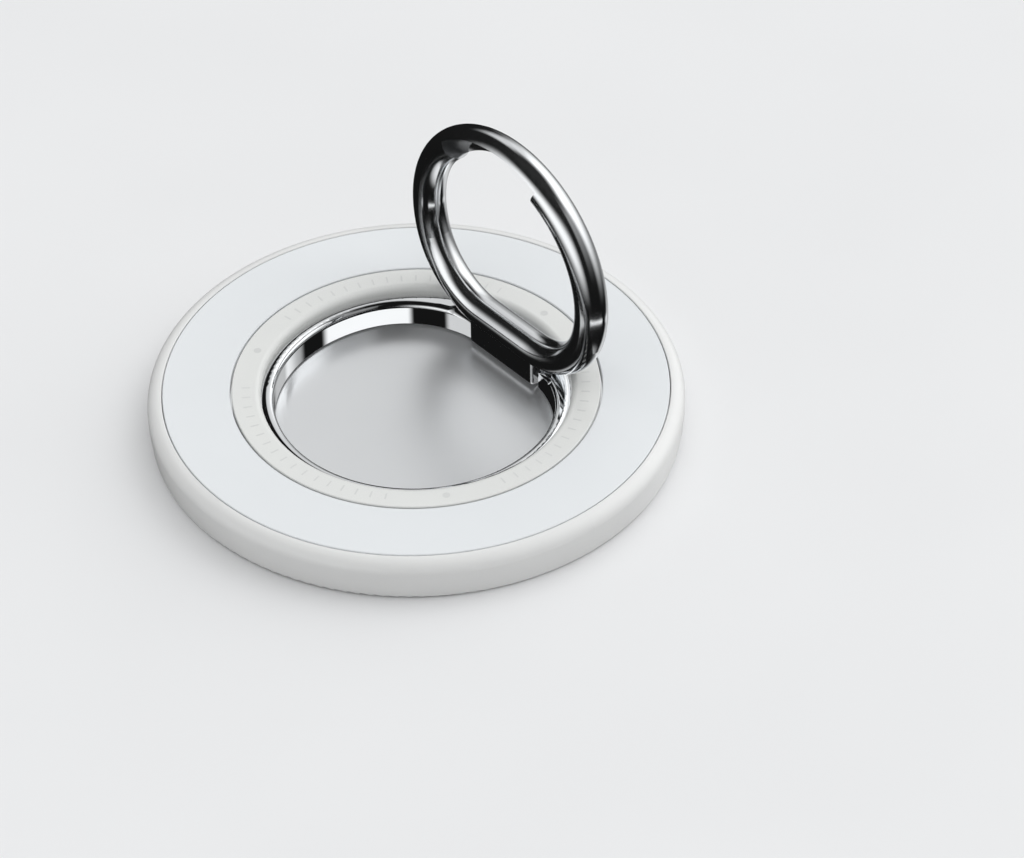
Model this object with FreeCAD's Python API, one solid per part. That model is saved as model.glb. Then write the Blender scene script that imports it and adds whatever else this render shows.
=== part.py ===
"""Magnetic phone ring holder: a round puck with a magnet array, a turntable and a folding finger ring.

Millimetres. The origin is the centre of the face that touches the phone, +Z points out of the phone,
+X runs along the hinge pin and +Y from the centre towards the hinge. The finger ring stands raised.
"""
import FreeCAD
import Part
import math
import os

# puck
puck_radius = 28.0
puck_height = 4.75
rim_wall = 1.5            # rim thickness at the outer seam
rim_round = 1.4           # rounding of the rim's top edge
rim_taper = 0.25          # how far the rim's side draws in towards the phone
foot_round = 0.3          # rounding of the rim's lower edge
foot_lift = 0.12          # rim's underside above the phone
edge_break = 0.08         # small bevel along the visible seams

# layers, from the phone up
pad_thickness = 0.4
pad_lap = 0.2             # pad's edge beyond the outer seam
plate_thickness = 0.45
plate_lap = 1.1           # floor plate's edge beyond the turntable's sleeve
web_thickness = 0.6
glide_thickness = 0.5     # upper glide ring
flange_thickness = 0.9
yoke_thickness = 0.5
tape_thickness = 0.2
cover_thickness = 0.8

# magnet array
magnet_count = 18
magnet_width = 3.9
magnet_spacing = 0.4
channel_wall = 0.8

# turntable
flange_reach = 5.4        # flange's edge beyond the sleeve
sleeve_wall = 1.25
lip_rise = 0.85           # top of the chrome lip above the middle of the folded ring's wire
lip_flat = 0.05           # level strip along the top of the lip, between its two rounds
band_width = 3.05
band_round = 0.7          # rounding of the band's inner edge

# finger ring and hinge
wire_diameter = 3.5
bar_flat = 2.6            # how far the straight bar lies inside the ring's round
bend_tightening = 3.85    # how much smaller the bends beside the bar are than the ring's round
fold_recess = 0.1         # folded ring below the puck's top face
pin_diameter = 0.9
pin_margin = 0.675        # hinge pin's middle below the underside of the raised ring's bar
pin_setback = 0.285       # bar behind the hinge pin when the ring is raised
knuckle_width = 9.9
knuckle_front = 1.14      # hinge pin to the knuckle's flat front
knuckle_back = 1.15       # hinge pin to the knuckle's flat back
knuckle_bevel = 0.15
snap_slot = 0.8           # mouth of the slot that the hinge pin snaps into
bush_wall = 0.2           # washers beside the knuckle, round the hinge pin
bush_width = 0.35
scoop_depth = 1.28        # fingernail undercut in the ring's top
scoop_tilt = 43.5         # how far the undercut faces from inwards to the front
scoop_start = 64.0        # undercut's first end, from the +X side of the ring
scoop_sweep = 66.0

# clearances
seam_gap = 0.1            # cover to rim
fit_gap = 0.05            # pieces that drop into a pocket
spin_gap = 0.2            # turntable to the pieces round it
glide_gap = 0.1           # turntable's flange to each glide ring
nest_gap = 0.25           # folded ring to the throat
swing_gap = 0.12          # swinging ring and knuckle to the turntable
floor_gap = 0.15          # swinging knuckle to the floor plate
pin_gap = 0.04            # hinge pin to the knuckle's bore
bush_gap = 0.05           # ends of a bush

# heights
pad_top = pad_thickness
plate_top = pad_top + plate_thickness
web_top = pad_top + web_thickness
cover_bottom = puck_height - cover_thickness
tape_bottom = cover_bottom - tape_thickness
yoke_bottom = tape_bottom - yoke_thickness
glide_bottom = cover_bottom - glide_thickness
flange_top = glide_bottom - glide_gap
flange_bottom = flange_top - flange_thickness
lower_glide_top = flange_bottom - glide_gap

# radii, from the rim inwards
seam_radius = puck_radius - rim_wall
cover_radius = seam_radius - seam_gap
pad_radius = seam_radius + pad_lap
magnet_outer = seam_radius - fit_gap
magnet_inner = magnet_outer - magnet_width
channel_outer = magnet_inner - fit_gap
channel_inner = channel_outer - channel_wall
flange_radius = channel_inner - spin_gap
sleeve_radius = flange_radius - flange_reach
throat_radius = sleeve_radius - sleeve_wall

# radii, from the sleeve outwards
glide_bore = sleeve_radius + spin_gap
plate_radius = sleeve_radius + plate_lap
band_bore = sleeve_radius + fit_gap
band_radius = band_bore + band_width
cover_bore = band_radius + spin_gap

# finger ring: folded, it lies in the throat, on the puck's own centre
wire_radius = wire_diameter / 2
ring_radius = throat_radius - nest_gap - wire_radius
bar_offset = ring_radius - bar_flat
corner_radius = ring_radius - bend_tightening
folded_height = puck_height - fold_recess - wire_radius
lip_top = folded_height + lip_rise
pin_drop = wire_radius + pin_margin
pin_y = bar_offset + pin_drop
pin_z = folded_height - pin_setback
bar_y = pin_y + pin_setback
bar_z = pin_z + pin_drop
centre_z = bar_z + bar_offset
bend_height = corner_radius - bar_offset
bend_across = math.sqrt((ring_radius - corner_radius) ** 2 - bend_height ** 2)
pin_radius = pin_diameter / 2
knuckle_round = pin_z - plate_top - floor_gap
bush_radius = pin_radius + bush_wall
bush_start = knuckle_width / 2 + bush_gap
bush_end = bush_start + bush_width
lug_start = bush_end + bush_gap
lip_radius = (sleeve_wall - lip_flat) / 2

UP = FreeCAD.Vector(0, 0, 1)
ALONG_PIN = FreeCAD.Vector(1, 0, 0)
ORIGIN = FreeCAD.Vector(0, 0, 0)
EIGHTH_TURN = math.radians(45)


def arc_middle(start, end, sag):
    """Middle point of the arc from start to end that bows by sag to the right of that direction."""
    run = end[0] - start[0]
    rise = end[1] - start[1]
    length = math.hypot(run, rise)
    return ((start[0] + end[0]) / 2 + sag * rise / length, (start[1] + end[1]) / 2 - sag * run / length)


def quarter_sag(radius):
    """Sag of a quarter round."""
    return radius * (1 - math.cos(EIGHTH_TURN))


def outline(place, start, *steps):
    """Closed face through steps: a point for a straight line, or (point, sag) for an arc."""
    edges = []
    here = start
    for step in steps + (start,):
        curved = isinstance(step[0], tuple)
        there = step[0] if curved else step
        if curved:
            middle = arc_middle(here, there, step[1])
            edges.append(Part.Arc(place(*here), place(*middle), place(*there)).toShape())
        else:
            edges.append(Part.LineSegment(place(*here), place(*there)).toShape())
        here = there
    return Part.Face(Part.Wire(edges))


def turned(start, *steps):
    """Solid turned about the puck's axis from a (radius, height) outline."""
    face = outline(lambda radius, height: FreeCAD.Vector(radius, 0, height), start, *steps)
    return face.revolve(ORIGIN, UP, 360)


def washer(inner, outer, bottom, top):
    """Plain ring about the puck's axis."""
    return turned((inner, bottom), (outer, bottom), (outer, top), (inner, top))


def rod(radius, start, end):
    """Cylinder about the hinge pin's axis."""
    return Part.makeCylinder(radius, end - start, FreeCAD.Vector(start, pin_y, pin_z), ALONG_PIN)


def housing():
    """White tub: rim, thin web under the magnets and the channel's inner wall."""
    foot_radius = puck_radius - rim_taper
    side_sag = rim_taper / 4
    top_start = (puck_radius - rim_round, puck_height)
    top_end = (puck_radius, puck_height - rim_round)
    side_end = (foot_radius, foot_lift + foot_round)
    foot_end = (foot_radius - foot_round, foot_lift)
    return turned(
        (plate_radius + fit_gap, pad_top),
        (pad_radius + seam_gap, pad_top),
        (pad_radius + seam_gap, foot_lift),
        foot_end,
        (side_end, quarter_sag(foot_round)),
        (top_end, side_sag),
        (top_start, quarter_sag(rim_round)),
        (seam_radius + edge_break, puck_height),
        (seam_radius, puck_height - edge_break),
        (seam_radius, web_top),
        (channel_outer, web_top),
        (channel_outer, tape_bottom),
        (channel_inner, tape_bottom),
        (channel_inner, web_top),
        (plate_radius + fit_gap, web_top),
    )


def cover_plate():
    """Flat white ring that closes the magnet channel and keeps the turntable in."""
    return turned(
        (cover_bore, cover_bottom),
        (cover_radius, cover_bottom),
        (cover_radius, puck_height - edge_break),
        (cover_radius - edge_break, puck_height),
        (cover_bore + edge_break, puck_height),
        (cover_bore, puck_height - edge_break),
    )


def magnet(index):
    """One arc magnet of the array."""
    pitch = 360 / magnet_count
    middle_radius = (magnet_inner + magnet_outer) / 2
    sweep = pitch - math.degrees(magnet_spacing / middle_radius)
    section = outline(
        lambda radius, height: FreeCAD.Vector(radius, 0, height),
        (magnet_inner, web_top),
        (magnet_outer, web_top),
        (magnet_outer, yoke_bottom),
        (magnet_inner, yoke_bottom),
    )
    block = section.revolve(ORIGIN, UP, sweep)
    block.rotate(ORIGIN, UP, index * pitch - sweep / 2)
    return block


def loop_edges(place, grow=0.0):
    """Outline of the finger ring, a round with one straight side, offset outwards by grow."""
    join_angle = math.atan2(bend_height, bend_across)
    bend_angle = (join_angle - math.pi / 2) / 2
    round_radius = ring_radius + grow
    bend_radius = corner_radius + grow
    straight = -bar_offset - grow
    join = (round_radius * math.cos(join_angle), round_radius * math.sin(join_angle))
    bend = (bend_across + bend_radius * math.cos(bend_angle),
            bend_height + bend_radius * math.sin(bend_angle))
    start = place(0, straight)
    bar_end = place(bend_across, straight)
    bar_start = place(-bend_across, straight)
    return [
        Part.LineSegment(start, bar_end).toShape(),
        Part.Arc(bar_end, place(*bend), place(*join)).toShape(),
        Part.Arc(place(*join), place(0, round_radius), place(-join[0], join[1])).toShape(),
        Part.Arc(place(-join[0], join[1]), place(-bend[0], bend[1]), bar_start).toShape(),
        Part.LineSegment(bar_start, start).toShape(),
    ]


def throat_opening():
    """Cutter for the throat, which follows the folded ring and so is straight on the hinge side."""
    edges = loop_edges(lambda across, height: FreeCAD.Vector(-across, -height, 0), wire_radius + nest_gap)
    return Part.Face(Part.Wire(edges)).extrude(UP * puck_height)


def swing_room():
    """Room over a hinge lug for the ring's bar and bend, swung from raised to folded, on the +X side."""
    reach = corner_radius + wire_radius + swing_gap
    low = pin_margin - swing_gap
    rise = reach * (1 - math.cos(EIGHTH_TURN))
    bend_end = (bend_across + reach * math.sin(EIGHTH_TURN), low + rise)
    profile = outline(
        lambda across, up: FreeCAD.Vector(across, pin_y, pin_z + up),
        (0, low),
        (bend_across, low),
        (bend_end, reach * (1 - math.cos(EIGHTH_TURN / 2))),
        (0, low + rise),
    )
    swung = profile.revolve(FreeCAD.Vector(0, pin_y, pin_z), ALONG_PIN, 90)
    return swung.fuse(profile.extrude(FreeCAD.Vector(0, sleeve_radius, 0)))


def hinge_room():
    """Cutter for the gap between the lugs and the room over them, which leaves the lip's round."""
    well = turned(
        (0, 0),
        (throat_radius, 0),
        (throat_radius, lip_top - lip_radius),
        ((throat_radius + lip_radius, lip_top), -quarter_sag(lip_radius)),
        (throat_radius + lip_radius, 2 * puck_height),
        (0, 2 * puck_height),
    )
    gap = Part.makeBox(2 * lug_start, sleeve_radius, puck_height, FreeCAD.Vector(-lug_start, 0, 0))
    room = swing_room()
    pocket = rod(knuckle_round + swing_gap, -lug_start, lug_start)
    return gap.fuse([room, room.mirror(ORIGIN, ALONG_PIN)]).common(well).fuse(pocket)


def pin_seat():
    """Room for the hinge pin in the lugs: a snap slot that is open downwards."""
    reach = pin_half_length() + bush_gap
    hole = rod(pin_radius, -reach, reach)
    slot = Part.makeBox(2 * reach, snap_slot, pin_z, FreeCAD.Vector(-reach, pin_y - snap_slot / 2, 0))
    return hole.fuse(slot)


def pin_half_length():
    """The pin ends a quarter of the way into the sleeve's wall."""
    return math.sqrt((throat_radius + sleeve_wall / 4) ** 2 - pin_y ** 2)


def turntable():
    """Chrome ring: throat with a rounded lip, flange that runs between the glides, and hinge lugs."""
    blank = turned(
        (0, plate_top + spin_gap),
        (sleeve_radius, plate_top + spin_gap),
        (sleeve_radius, flange_bottom),
        (flange_radius, flange_bottom),
        (flange_radius, flange_top),
        (sleeve_radius, flange_top),
        (sleeve_radius, lip_top - lip_radius),
        ((sleeve_radius - lip_radius, lip_top), quarter_sag(lip_radius)),
        (0, lip_top),
    )
    ring = blank.cut(throat_opening())
    lip_middle = throat_radius + lip_radius

    def on_throat_edge(point):
        return abs(point.Z - lip_top) < fit_gap and math.hypot(point.X, point.Y) < lip_middle

    throat_edges = [edge for edge in ring.Edges if all(map(on_throat_edge, edge.Vertexes))]
    return ring.makeFillet(lip_radius, throat_edges).cut(hinge_room()).cut(pin_seat())


def trim_band():
    """White ring on the turntable's flange, with a rounded inner edge."""
    return turned(
        (band_bore, flange_top),
        (band_radius, flange_top),
        (band_radius, puck_height - edge_break),
        (band_radius - edge_break, puck_height),
        (band_bore + band_round, puck_height),
        ((band_bore, puck_height - band_round), quarter_sag(band_round)),
    )


def hinge_bush(side):
    """Friction washer on the hinge pin, between knuckle and lug."""
    tube = rod(bush_radius, bush_start, bush_end).cut(rod(pin_radius, bush_start, bush_end))
    return tube if side > 0 else tube.mirror(ORIGIN, ALONG_PIN)


def ring_wire():
    """Round wire bent to a ring with one straight side, standing in the plane of the bar."""
    def place(across, height):
        return FreeCAD.Vector(across, bar_y, centre_z + height)

    path = Part.Wire(loop_edges(place))
    start = place(0, -bar_offset)
    section = Part.Wire(Part.makeCircle(wire_radius, start, ALONG_PIN))
    return path.makePipeShell([section], True, False)


def knuckle():
    """Tab under the bar, flat in front and behind and round below, that turns on the hinge pin."""
    half = knuckle_width / 2
    front_corner = (pin_y - knuckle_front, pin_z - math.sqrt(knuckle_round ** 2 - knuckle_front ** 2))
    back_corner = (pin_y + knuckle_back, pin_z - math.sqrt(knuckle_round ** 2 - knuckle_back ** 2))
    half_chord = math.dist(front_corner, back_corner) / 2
    profile = outline(
        lambda y, z: FreeCAD.Vector(-half, y, z),
        (front_corner[0], bar_z),
        front_corner,
        (back_corner, knuckle_round - math.sqrt(knuckle_round ** 2 - half_chord ** 2)),
        (back_corner[0], bar_z),
    )
    tab = profile.extrude(ALONG_PIN * knuckle_width)
    bar_underside = bar_z - wire_radius / 2
    crisp = [edge for edge in tab.Edges if edge.BoundBox.ZMin < bar_underside]
    return tab.makeChamfer(knuckle_bevel, crisp)


def scoop():
    """Cutter for the undercut, a flat that follows the ring round its top."""
    tilt = math.radians(scoop_tilt)
    facing = (-math.cos(tilt), -math.sin(tilt))
    along = (facing[1], -facing[0])

    def place(out, side):
        """Point of the wire's section, out from the undercut's floor and sideways along it."""
        reach = wire_radius - scoop_depth + out
        across = ring_radius + reach * facing[0] + side * along[0]
        return FreeCAD.Vector(across, bar_y + reach * facing[1] + side * along[1], centre_z)

    section = outline(
        place,
        (0, -wire_diameter),
        (wire_diameter, -wire_diameter),
        (wire_diameter, wire_diameter),
        (0, wire_diameter),
    )
    axis_point = FreeCAD.Vector(0, bar_y, centre_z)
    ring_axis = FreeCAD.Vector(0, -1, 0)
    cutter = section.revolve(axis_point, ring_axis, scoop_sweep)
    cutter.rotate(axis_point, ring_axis, scoop_start)
    return cutter


def finger_ring():
    """Chrome ring and its hinge knuckle, one casting."""
    half = knuckle_width / 2
    body = ring_wire().fuse(knuckle())
    bore = rod(pin_radius + pin_gap, -half, half)
    return body.cut([bore, scoop()])


def pieces():
    """Every piece of the holder by name."""
    named = {
        "housing": housing(),
        "contact_pad": Part.makeCylinder(pad_radius, pad_thickness),
        "base_plate": Part.makeCylinder(plate_radius, plate_thickness, FreeCAD.Vector(0, 0, pad_top)),
        "yoke_ring": washer(magnet_inner, magnet_outer, yoke_bottom, tape_bottom),
        "cover_tape": washer(channel_inner, magnet_outer, tape_bottom, cover_bottom),
        "cover_plate": cover_plate(),
        "lower_glide": washer(glide_bore, flange_radius, web_top, lower_glide_top),
        "upper_glide": washer(cover_bore, flange_radius, glide_bottom, cover_bottom),
        "turntable": turntable(),
        "trim_band": trim_band(),
        "hinge_pin": rod(pin_radius, -pin_half_length(), pin_half_length()),
        "hinge_bush_left": hinge_bush(-1),
        "hinge_bush_right": hinge_bush(1),
        "finger_ring": finger_ring(),
    }
    for index in range(magnet_count):
        named[f"magnet_{index + 1:02d}"] = magnet(index)
    return named


os.makedirs("parts", exist_ok=True)
for name, shape in pieces().items():
    print(f"{name}: {len(shape.Solids)} solid, {shape.Volume:.2f} mm3, valid {shape.isValid()}")
    shape.exportStep(f"parts/{name}.step")
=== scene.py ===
import math

import bpy
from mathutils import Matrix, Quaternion, Vector


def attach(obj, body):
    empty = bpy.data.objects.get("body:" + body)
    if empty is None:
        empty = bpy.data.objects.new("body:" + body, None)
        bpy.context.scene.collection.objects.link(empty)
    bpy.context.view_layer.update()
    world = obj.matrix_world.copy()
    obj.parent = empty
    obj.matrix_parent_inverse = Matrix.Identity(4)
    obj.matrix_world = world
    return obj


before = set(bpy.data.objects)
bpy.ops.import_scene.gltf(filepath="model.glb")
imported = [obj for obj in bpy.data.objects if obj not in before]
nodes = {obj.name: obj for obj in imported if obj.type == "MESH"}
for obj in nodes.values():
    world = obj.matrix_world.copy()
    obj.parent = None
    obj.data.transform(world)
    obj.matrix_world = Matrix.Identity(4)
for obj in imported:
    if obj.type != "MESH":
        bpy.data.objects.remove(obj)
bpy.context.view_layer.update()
mm = 0.001
print("frame loaded:", len(nodes), "nodes")


# camera
viewpoint = {
    "azimuth": 49.7,           # degrees
    "elevation": 40.65,
    "roll": -0.85,
    "distance": 514.6 * mm,
    "aim": (11.97 * mm, 2.84 * mm, 4.75 * mm),
    "lens": 175.8,             # lens and sensor in Blender's camera millimetres
    "sensor": 36,
    "nearest": 10 * mm,
}


def setCamera(v):
    around, up = math.radians(v["azimuth"]), math.radians(v["elevation"])
    back = Vector((math.sin(around) * math.cos(up), -math.cos(around) * math.cos(up), math.sin(up)))
    roll = Quaternion((0, 0, 1), math.radians(v["roll"]))
    bpy.ops.object.camera_add(location=Vector(v["aim"]) + back * v["distance"])
    camera = bpy.context.object
    camera.name = "photoCamera"
    camera.rotation_mode = "QUATERNION"
    camera.rotation_quaternion = (-back).to_track_quat("-Z", "Y") @ roll
    camera.data.lens = v["lens"]
    camera.data.sensor_width = v["sensor"]
    camera.data.clip_start = v["nearest"]
    bpy.context.scene.camera = camera


setCamera(viewpoint)
print("camera set")


# studio: soft boxes round the puck, each with a compass angle, a half width and a soft edge in degrees
# "low" and "high" are where its lower and upper edge fade, as the sine of the elevation
# "mirror" is how bright the chrome sees a box, "lamp" how bright it lights matt surfaces
noLowEdge, noHighEdge = (-2.0, -1.5), (1.5, 2.0)
# the upright wall of the throat mirrors only these heights to the camera
wallStrip = {"low": (-0.668, -0.655), "high": (-0.622, -0.609), "lamp": 0.0}
studio = {
    "background": 0.80,        # seen past the floor
    "tint": (0.985, 0.995, 1.0, 1),
    "surround": {"mirror": 0.008, "lamp": 0.50},
    "windows": [
        {"angle": 80, "half": 41, "soft": 19, "low": (-0.50, 0.50), "high": (0.76, 0.97),
         "mirror": 1.3, "lamp": 1.5},                               # main box on the right
        {"angle": 10, "half": 18, "soft": 8, "low": (-0.15, 0.80), "high": (0.72, 0.96),
         "mirror": 0.3, "lamp": 0.0},                               # dim one, front right
        {"angle": 146, "half": 15, "soft": 10, "low": (0.20, 0.60), "high": (0.72, 0.96),
         "mirror": 0.7, "lamp": 0.0},                               # behind
        {"angle": 270, "half": 29, "soft": 29, "low": (-0.52, 0.02), "high": (0.15, 0.70),
         "mirror": 1.15, "lamp": 0.4},                              # fill, front left
        {"angle": 104, "half": 20, "soft": 14, "low": noLowEdge, "high": (-0.85, -0.15),
         "mirror": 0.7, "lamp": 0.0},                               # low glow, behind right
        {**wallStrip, "angle": 254, "half": 15, "soft": 4, "mirror": 0.7},
        {**wallStrip, "angle": 355, "half": 44, "soft": 4, "mirror": 1.08},
        {**wallStrip, "angle": 79, "half": 12, "soft": 5, "mirror": 0.45},
        {"angle": 0, "half": 175, "soft": 5, "low": (0.70, 0.85), "high": noHighEdge,
         "mirror": 0.0, "lamp": 0.75},                              # overhead, for the matt parts only
    ],
    "below": {"low": -1.0, "high": -0.86, "mirror": 0.95, "lamp": 0.9},
}


def compassDirection(angle):
    turn = math.radians(angle)
    return (math.cos(turn), math.sin(turn), 0)


def cosine(angle):
    return math.cos(math.radians(angle))


def softStep(tree, source, low, high, lowValue=0.0, highValue=1.0):
    step = tree.nodes.new("ShaderNodeMapRange")
    step.interpolation_type = "SMOOTHSTEP"
    step.inputs["From Min"].default_value = low
    step.inputs["From Max"].default_value = high
    step.inputs["To Min"].default_value = lowValue
    step.inputs["To Max"].default_value = highValue
    tree.links.new(source, step.inputs["Value"])
    return step.outputs["Result"]


def join(tree, operation, first, *others):
    result = first
    for other in others:
        step = tree.nodes.new("ShaderNodeMath")
        step.operation = operation
        for socket, value in zip(step.inputs, (result, other)):
            if isinstance(value, (int, float)):
                socket.default_value = value
            else:
                tree.links.new(value, socket)
        result = step.outputs["Value"]
    return result


def vectorStep(tree, operation, first, second=None):
    step = tree.nodes.new("ShaderNodeVectorMath")
    step.operation = operation
    tree.links.new(first, step.inputs[0])
    if second is not None:
        step.inputs[1].default_value = second
    return step


def setStudio(s):
    world = bpy.data.worlds.new("studio")
    bpy.context.scene.world = world
    world.use_nodes = True
    tree = world.node_tree
    tree.nodes.clear()
    where = tree.nodes.new("ShaderNodeTexCoord").outputs["Generated"]
    split = tree.nodes.new("ShaderNodeSeparateXYZ")
    tree.links.new(where, split.inputs["Vector"])
    height = split.outputs["Z"]
    level = vectorStep(tree, "MULTIPLY", where, (1, 1, 0)).outputs["Vector"]   # the same direction, laid flat
    compass = vectorStep(tree, "NORMALIZE", level).outputs["Vector"]
    path = tree.nodes.new("ShaderNodeLightPath")

    def bright(box):
        return softStep(tree, path.outputs["Is Glossy Ray"], 0, 1, box["lamp"], box["mirror"])

    boxes = []
    for box in s["windows"]:
        facing = vectorStep(tree, "DOT_PRODUCT", compass, compassDirection(box["angle"])).outputs["Value"]
        outer, inner = box["half"] + box["soft"], box["half"] - box["soft"]
        across = softStep(tree, facing, cosine(outer), cosine(inner))
        up = softStep(tree, height, *box["low"])
        down = softStep(tree, height, *box["high"], 1, 0)
        boxes.append(join(tree, "MULTIPLY", across, up, down, bright(box)))
    under = s["below"]
    reach = softStep(tree, height, under["low"], under["high"], 1, 0)
    boxes.append(join(tree, "MULTIPLY", reach, bright(under)))
    light = join(tree, "ADD", bright(s["surround"]), *boxes)

    seen = path.outputs["Is Camera Ray"]
    shown = join(tree, "MULTIPLY", seen, s["background"])
    hidden = join(tree, "MULTIPLY", light, join(tree, "SUBTRACT", 1, seen))
    background = tree.nodes.new("ShaderNodeBackground")
    background.inputs["Color"].default_value = s["tint"]
    tree.links.new(join(tree, "ADD", shown, hidden), background.inputs["Strength"])
    output = tree.nodes.new("ShaderNodeOutputWorld")
    tree.links.new(background.outputs["Background"], output.inputs["Surface"])
    bpy.context.scene.view_settings.view_transform = "Standard"


setStudio(studio)
print("studio light set")


# finishes
noiseSpan = (0.3, 0.7)         # most of a noise texture's values lie in here


def newFinish(name):
    material = bpy.data.materials.new(name)
    material.use_nodes = True
    tree = material.node_tree
    shader = tree.nodes["Principled BSDF"]
    coordinates = tree.nodes.new("ShaderNodeTexCoord").outputs["Object"]
    return material, tree, shader, coordinates


def noise(tree, coordinates, size, detail):
    texture = tree.nodes.new("ShaderNodeTexNoise")
    texture.inputs["Scale"].default_value = 1 / size
    texture.inputs["Detail"].default_value = detail
    tree.links.new(coordinates, texture.inputs["Vector"])
    return texture.outputs["Fac"]


def ramp(tree, source, first, second, start=0.35, end=0.65):
    colours = tree.nodes.new("ShaderNodeValToRGB")
    colours.color_ramp.elements[0].position = start
    colours.color_ramp.elements[0].color = (*first, 1)
    colours.color_ramp.elements[1].position = end
    colours.color_ramp.elements[1].color = (*second, 1)
    tree.links.new(source, colours.inputs["Fac"])
    return colours.outputs["Color"]


def roughness(tree, shader, source, low, high):
    step = tree.nodes.new("ShaderNodeMapRange")
    step.inputs["From Min"].default_value = noiseSpan[0]
    step.inputs["From Max"].default_value = noiseSpan[1]
    step.inputs["To Min"].default_value = low
    step.inputs["To Max"].default_value = high
    tree.links.new(source, step.inputs["Value"])
    tree.links.new(step.outputs["Result"], shader.inputs["Roughness"])


def bump(tree, shader, source, depth):
    relief = tree.nodes.new("ShaderNodeBump")
    relief.inputs["Distance"].default_value = depth
    tree.links.new(source, relief.inputs["Height"])
    tree.links.new(relief.outputs["Normal"], shader.inputs["Normal"])


# "cloud" is the size of the slow drift from colour to shade, "grain" that of the fine texture
def makeFinish(name, colour, shade, rough, grain, depth=0, cloud=9 * mm, specular=0.5, metallic=0.0):
    material, tree, shader, coordinates = newFinish(name)
    fine = noise(tree, coordinates, grain, detail=4)
    drift = noise(tree, coordinates, cloud, detail=2)
    tree.links.new(ramp(tree, drift, colour, shade), shader.inputs["Base Color"])
    roughness(tree, shader, fine, *rough)
    if depth:
        bump(tree, shader, fine, depth)
    shader.inputs["Specular IOR Level"].default_value = specular
    shader.inputs["Metallic"].default_value = metallic
    return material


finishLooks = {
    "satin_white": {"colour": (0.78, 0.78, 0.77), "shade": (0.765, 0.765, 0.757), "rough": (0.26, 0.34),
                    "grain": 0.05 * mm, "depth": 0.0006 * mm},
    "cover_white": {"colour": (0.775, 0.795, 0.81), "shade": (0.765, 0.785, 0.80), "rough": (0.32, 0.40),
                    "grain": 0.06 * mm, "depth": 0.0008 * mm},
    "band_white": {"colour": (0.75, 0.755, 0.735), "shade": (0.735, 0.74, 0.725), "rough": (0.24, 0.32),
                   "grain": 0.05 * mm, "depth": 0.0006 * mm},
    "silicone_grey": {"colour": (0.55, 0.56, 0.57), "shade": (0.52, 0.53, 0.54), "rough": (0.62, 0.78),
                      "grain": 0.12 * mm, "depth": 0.006 * mm, "specular": 0.35},
    "satin_grey": {"colour": (0.90, 0.91, 0.92), "shade": (0.89, 0.90, 0.91), "rough": (0.28, 0.33),
                   "grain": 0.04 * mm, "depth": 0.0004 * mm, "metallic": 0.83},
    "mark_grey": {"colour": (0.63, 0.635, 0.625), "shade": (0.65, 0.655, 0.645), "rough": (0.4, 0.5),
                  "grain": 0.05 * mm},
    "yoke_steel": {"colour": (0.50, 0.50, 0.50), "shade": (0.46, 0.46, 0.47), "rough": (0.30, 0.42),
                   "grain": 0.08 * mm, "depth": 0.001 * mm, "metallic": 1.0},
    "tape": {"colour": (0.04, 0.04, 0.04), "shade": (0.06, 0.06, 0.06), "rough": (0.5, 0.65),
             "grain": 0.1 * mm, "depth": 0.004 * mm, "specular": 0.4},
    "glide_plastic": {"colour": (0.62, 0.62, 0.60), "shade": (0.58, 0.58, 0.565), "rough": (0.34, 0.44),
                      "grain": 0.08 * mm, "depth": 0.001 * mm, "specular": 0.45},
    "bush_black": {"colour": (0.018, 0.018, 0.019), "shade": (0.026, 0.026, 0.027), "rough": (0.3, 0.42),
                   "grain": 0.06 * mm, "depth": 0.001 * mm, "specular": 0.4},
    "chrome": {"colour": (0.88, 0.89, 0.90), "shade": (0.86, 0.87, 0.88), "rough": (0.012, 0.03),
               "grain": 0.2 * mm, "cloud": 5 * mm, "metallic": 1.0},
    "ring_chrome": {"colour": (0.87, 0.88, 0.89), "shade": (0.85, 0.86, 0.875), "rough": (0.10, 0.13),
                    "grain": 0.2 * mm, "cloud": 5 * mm, "metallic": 1.0},
    "pin_steel": {"colour": (0.60, 0.60, 0.61), "shade": (0.55, 0.55, 0.56), "rough": (0.12, 0.2),
                  "grain": 0.06 * mm, "depth": 0.0005 * mm, "metallic": 1.0},
    "magnet_nickel": {"colour": (0.66, 0.64, 0.60), "shade": (0.60, 0.585, 0.55), "rough": (0.15, 0.28),
                      "grain": 0.1 * mm, "depth": 0.0008 * mm, "metallic": 1.0},
}
finishes = {slot: makeFinish(slot, **look) for slot, look in finishLooks.items()}


def slotOf(material):
    return material.name.split(".")[0]


# the chrome shows the studio and these, not the puck's plain white parts
mirrored = ("finger_ring", "turntable", "hinge_pin", "hinge_bush_left", "hinge_bush_right")
for name, node in nodes.items():
    node.visible_glossy = name in mirrored
    for holder in node.material_slots:
        holder.material = finishes[slotOf(holder.material)]
print("finishes assigned")


# faint printed scale of ticks and dots round the trim band
marks = {
    "inset": 1.5 * mm,         # from the band's outer edge to the middle of the print
    "tick": (0.9 * mm, 0.17 * mm),
    "dotRadius": 0.4 * mm,
    "dotSides": 32,
    "thickness": 0.012 * mm,
    "bevel": 0.004 * mm,
    "arcs": 3,
    "ticks": 17,               # in each arc
    "spacing": 5.0,            # degrees
}


def deselectAll():
    bpy.ops.object.select_all(action="DESELECT")


def turnSelected(degrees):
    bpy.ops.transform.rotate(value=math.radians(degrees), orient_axis="Z", center_override=(0, 0, 0))


def roundOff(piece, width, steps=1):
    bevel = piece.modifiers.new("edge", "BEVEL")
    bevel.width = width
    bevel.segments = steps
    bpy.ops.object.modifier_apply(modifier=bevel.name)


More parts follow.
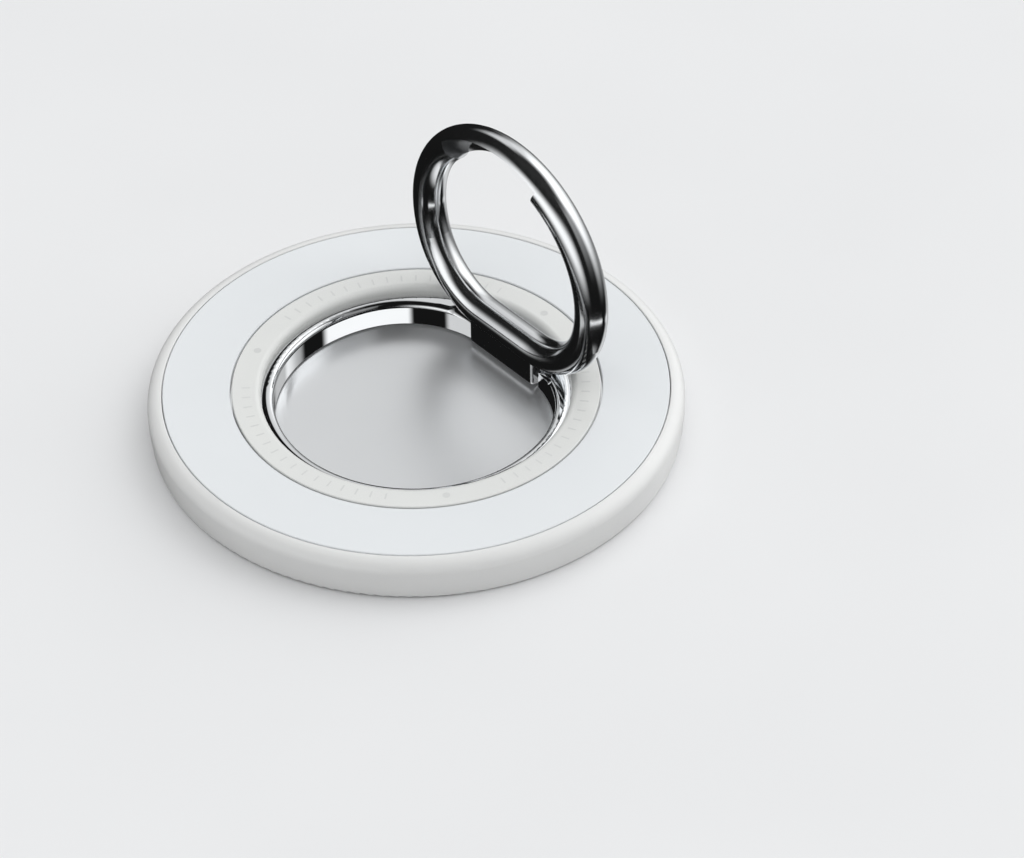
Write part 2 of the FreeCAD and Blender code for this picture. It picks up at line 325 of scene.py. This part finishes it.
def turnCopies(piece, count, spacing):
    copies = [piece]
    for _ in range(count - 1):
        deselectAll()
        copies[-1].select_set(True)
        bpy.context.view_layer.objects.active = copies[-1]
        bpy.ops.object.duplicate()
        copies.append(bpy.context.object)
        turnSelected(spacing)
    return copies


def joinPieces(pieces, name):
    deselectAll()
    for piece in pieces:
        piece.select_set(True)
    bpy.context.view_layer.objects.active = pieces[0]
    bpy.ops.object.join()
    joined = bpy.context.object
    joined.name = name
    bpy.ops.object.transform_apply(location=True, rotation=True, scale=True)
    return joined


def printMarks(m):
    corners = [Vector(corner) for corner in nodes["trim_band"].bound_box]
    radius = max(corner.x for corner in corners) - m["inset"]
    top = max(corner.z for corner in corners)
    place = (radius, 0, top)
    sectorAngle = 360 / m["arcs"]
    arcAngle = m["spacing"] * (m["ticks"] - 1)

    deselectAll()
    bpy.ops.mesh.primitive_cube_add(size=1, location=place)
    tick = bpy.context.object
    tick.dimensions = (*m["tick"], m["thickness"])
    bpy.ops.object.transform_apply(location=False, rotation=False, scale=True)
    roundOff(tick, m["bevel"])
    turnSelected(-arcAngle / 2)
    arc = turnCopies(tick, m["ticks"], m["spacing"])

    deselectAll()
    bpy.ops.mesh.primitive_cylinder_add(vertices=m["dotSides"], radius=m["dotRadius"],
                                        depth=m["thickness"], location=place)
    dot = bpy.context.object
    roundOff(dot, m["bevel"])
    turnSelected(sectorAngle / 2)

    sector = joinPieces(arc + [dot], "bandSector")
    turnSelected(-sectorAngle / 4)   # brings a gap between two arcs, with its dot, to the front
    scale = joinPieces(turnCopies(sector, m["arcs"], sectorAngle), "bandScale")
    scale.data.materials.clear()
    scale.data.materials.append(finishes["mark_grey"])
    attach(scale, "turntable")


printMarks(marks)
print("band marks printed")


# floor
floorSheet = {
    "size": 3.0,
    "rise": 0.01 * mm,         # just above the pad, which then shows from below
    "look": {"colour": (0.80, 0.80, 0.805), "shade": (0.785, 0.785, 0.79), "rough": (0.42, 0.5),
             "grain": 0.3 * mm, "cloud": 40 * mm, "specular": 0.3},
}


def layFloor(f):
    deselectAll()
    bpy.ops.mesh.primitive_plane_add(size=f["size"], location=(0, 0, f["rise"]))
    floor = bpy.context.object
    floor.name = "studioFloor"
    floor.data.materials.append(makeFinish("floorWhite", **f["look"]))
    floor.visible_glossy = False


layFloor(floorSheet)
print("floor laid")
